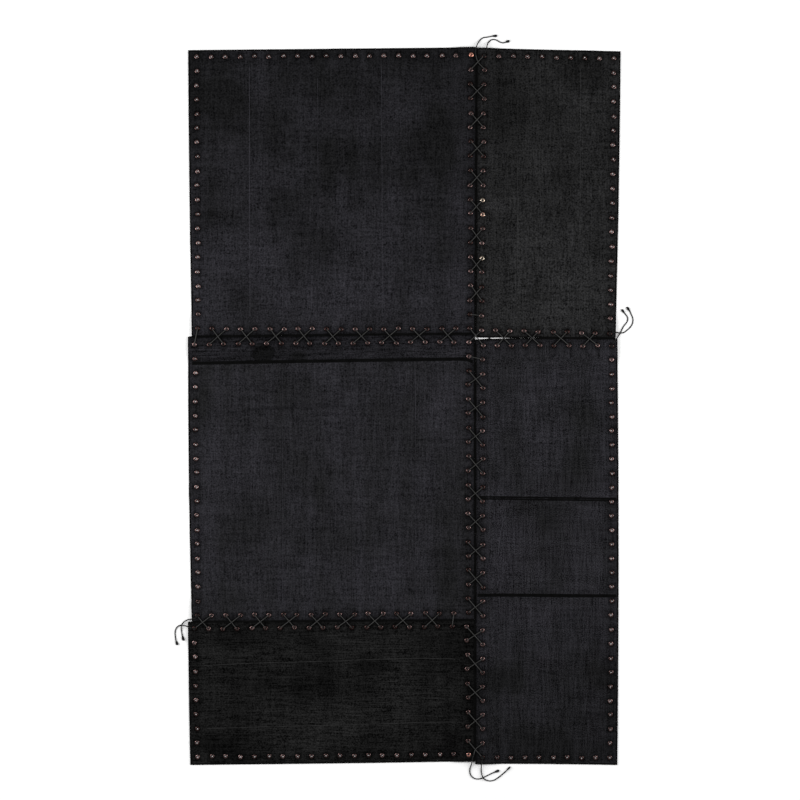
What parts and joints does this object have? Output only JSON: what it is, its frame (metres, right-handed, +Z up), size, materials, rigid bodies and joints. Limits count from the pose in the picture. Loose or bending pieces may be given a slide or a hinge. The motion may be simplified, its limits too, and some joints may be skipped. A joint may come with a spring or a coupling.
{
  "type": "patchwork rug",
  "caption": "Large flat patchwork floor rug of dark woven cloth panels with eyelet borders, laced together criss-cross with cord whose knotted ends lie free",
  "frame": {"origin": "on the floor below the middle of the rug's outline, free cord ends left out", "axes": "+X to the right and +Y to the top of the picture, along the rug's length; +Z up, out of the cloth's face"},
  "size_m": [1.9568, 3.1848, 0.0219],
  "materials": {
    "cloth": "matt hand-woven cloth, bluish charcoal",
    "dark_cloth": "matt hand-woven cloth, near black",
    "eyelets": "old copper colour, rolled and worn",
    "cord": "waxed dark grey cord",
    "knots": "tight black cord knots"
  },
  "bodies": {
    "root": {"upper_left_field": "cloth", "upper_right_field": "cloth", "middle_left_band": "dark_cloth", "middle_left_field": "cloth", "lower_left_field": "dark_cloth", "lower_right_field_upper": "cloth", "lower_right_field_middle": "cloth", "lower_right_field_lower": "cloth", "upper_left_top_edge": "cloth", "upper_left_side_edge": "cloth", "upper_right_top_edge": "cloth", "upper_right_side_edge": "cloth", "middle_left_side_edge": "cloth", "lower_left_bottom_edge": "dark_cloth", "lower_left_side_edge": "dark_cloth", "lower_right_bottom_edge": "cloth", "lower_right_side_edge": "cloth", "eyelet_01": "eyelets", "eyelet_02": "eyelets", "eyelet_03": "eyelets", "eyelet_04": "eyelets", "eyelet_05": "eyelets", "eyelet_06": "eyelets", "eyelet_07": "eyelets", "eyelet_08": "eyelets", "eyelet_09": "eyelets", "eyelet_10": "eyelets", "eyelet_11": "eyelets", "eyelet_12": "eyelets", "lace_upper_seam": "cord", "lace_lower_seam": "cord", "lace_cross_seam": "cord", "lace_left_seam": "cord", "tail_top_1": "cord", "tail_top_2": "cord", "tail_right_1": "cord", "tail_right_2": "cord", "tail_left_1": "cord", "tail_left_2": "cord", "tail_bottom_1": "cord", "tail_bottom_2": "cord", "stop_knot_top": "knots", "stop_knot_bottom": "knots", "stop_knot_right_1": "knots", "stop_knot_right_2": "knots", "stop_knot_left_1": "knots", "stop_knot_left_2": "knots", "tail_knot_top_1": "knots", "tail_knot_top_2": "knots", "tail_knot_right_1": "knots", "tail_knot_right_2": "knots", "tail_knot_left_1": "knots", "tail_knot_left_2": "knots", "tail_knot_bottom_1": "knots", "tail_knot_bottom_2": "knots"}
  },
  "joints": []
}
